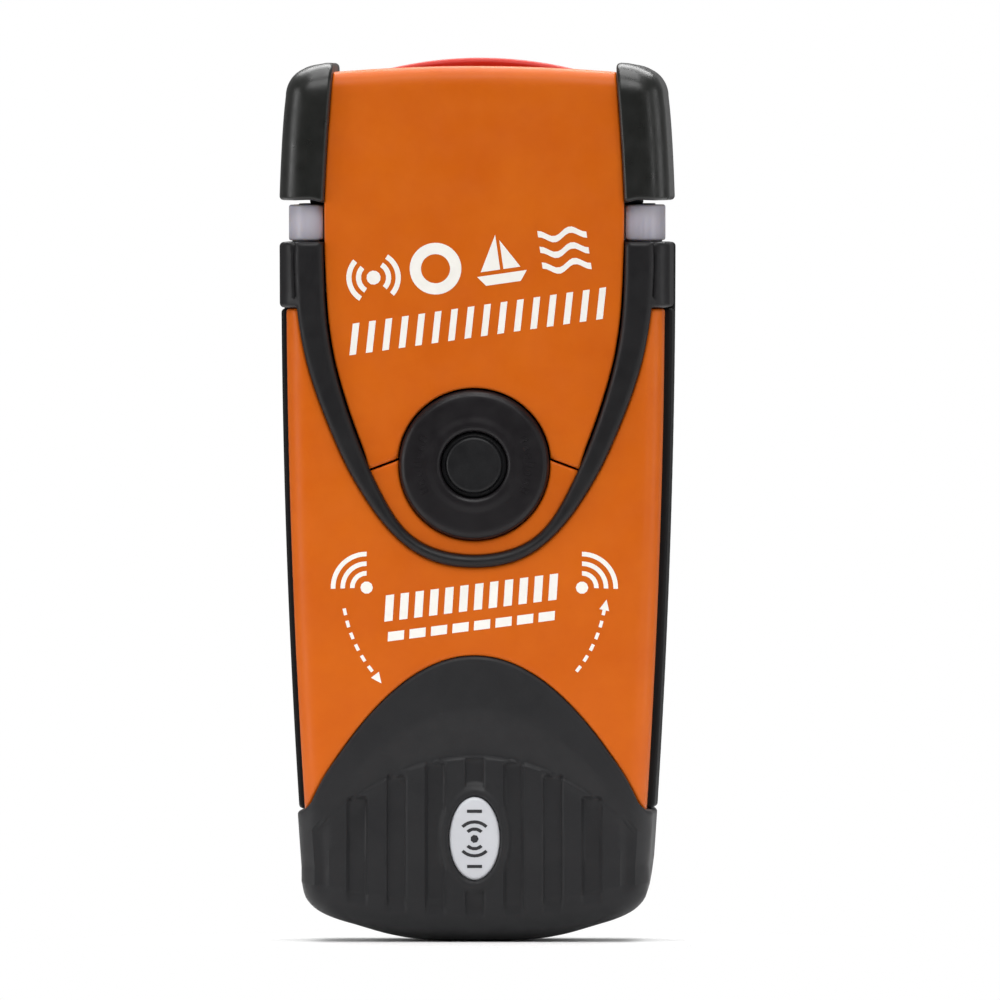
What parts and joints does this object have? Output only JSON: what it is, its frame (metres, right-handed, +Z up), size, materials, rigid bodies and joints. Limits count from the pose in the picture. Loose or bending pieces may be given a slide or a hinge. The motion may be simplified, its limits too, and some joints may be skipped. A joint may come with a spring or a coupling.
{
  "type": "emergency position beacon",
  "caption": "Pocket rescue beacon: tapered case with rubber foot, pull-off antenna cap over an arming key, round test button and a draw-out blade antenna.",
  "frame": {"origin": "under the middle of the foot, on the mid-thickness plane", "axes": "+X across the width, front face looks along -Y, +Z up from the foot to the antenna cap"},
  "size_m": [0.0472, 0.0342, 0.106],
  "materials": {
    "orange_shell": "satin moulded",
    "black_shell": "fine textured",
    "black_rubber": "matte",
    "black_trim": "satin",
    "boot_rubber": "satin",
    "grip_rubber": "satin",
    "bezel_black": "satin",
    "button_rubber": "satin",
    "badge_grey": "smooth",
    "diffuser": "frosted",
    "clear_lens": "clear",
    "led_yellow": "matte",
    "key_red": "smooth",
    "tab_red": "smooth",
    "guide_plastic": "matte",
    "stainless": "brushed",
    "contact_brass": "plain",
    "label_plate": "satin",
    "circuit_board": "solder mask",
    "tin_can": "plain",
    "switch_black": "matte",
    "flex_amber": "satin",
    "ceramic_patch": "fired ceramic",
    "lead_red": "insulated",
    "cell_blue": "sleeved"
  },
  "bodies": {
    "case": {"front_shell": "orange_shell", "rear_shell": "black_shell", "shell_gasket": "black_rubber", "shell_screws": "stainless", "bumper_frame": "black_trim", "lower_boot": "boot_rubber", "boot_badge": "badge_grey", "key_panel": "black_shell", "button_surround": "orange_shell", "button_bezel": "bezel_black", "status_light_pipe": "clear_lens", "neck_ring": "diffuser", "head_core": "black_shell", "strobe_lens": "clear_lens", "strobe_led": "led_yellow", "antenna_guide": "guide_plastic", "antenna_feed": "contact_brass", "rear_label": "label_plate", "main_board": "circuit_board", "board_screws": "stainless", "rf_shield": "tin_can", "test_switch": "switch_black", "on_switch": "switch_black", "status_led": "led_yellow", "head_board": "circuit_board", "head_flex": "flex_amber", "gnss_antenna": "ceramic_patch", "battery_leads": "lead_red", "battery_cell_left": "cell_blue", "battery_cell_right": "cell_blue", "battery_top_strap": "tin_can", "battery_base_contact": "tin_can", "battery_tray": "guide_plastic"},
    "cap": {"cap_plate": "orange_shell", "cap_grip_left": "grip_rubber", "cap_grip_right": "grip_rubber"},
    "button": {"test_button": "button_rubber", "button_seal": "black_rubber"},
    "key": {"on_key": "key_red"},
    "lower_blade": {"antenna_lower_blade": "stainless"},
    "upper_blade": {"antenna_upper_blade": "stainless", "antenna_tab": "tab_red"}
  },
  "joints": [
    {"name": "cap_release", "type": "slide", "parent": "case", "child": "cap", "axis": [0, 0, 1], "range_m": [0, 0.06]},
    {"name": "test_button_press", "type": "slide", "parent": "case", "child": "button", "axis": [0, 1, 0], "range_m": [0, 0.001]},
    {"name": "on_key_press", "type": "slide", "parent": "case", "child": "key", "axis": [0, 1, 0], "range_m": [0, 0.001]},
    {"name": "antenna_lower_slide", "type": "slide", "parent": "case", "child": "lower_blade", "axis": [0, 0, 1], "range_m": [0, 0.072]},
    {"name": "antenna_upper_slide", "type": "slide", "parent": "lower_blade", "child": "upper_blade", "axis": [0, 0, 1], "range_m": [0, 0.072]}
  ],
  "couplings": [
    {"joint": "antenna_upper_slide", "follows": "antenna_lower_slide", "ratio": 1}
  ]
}
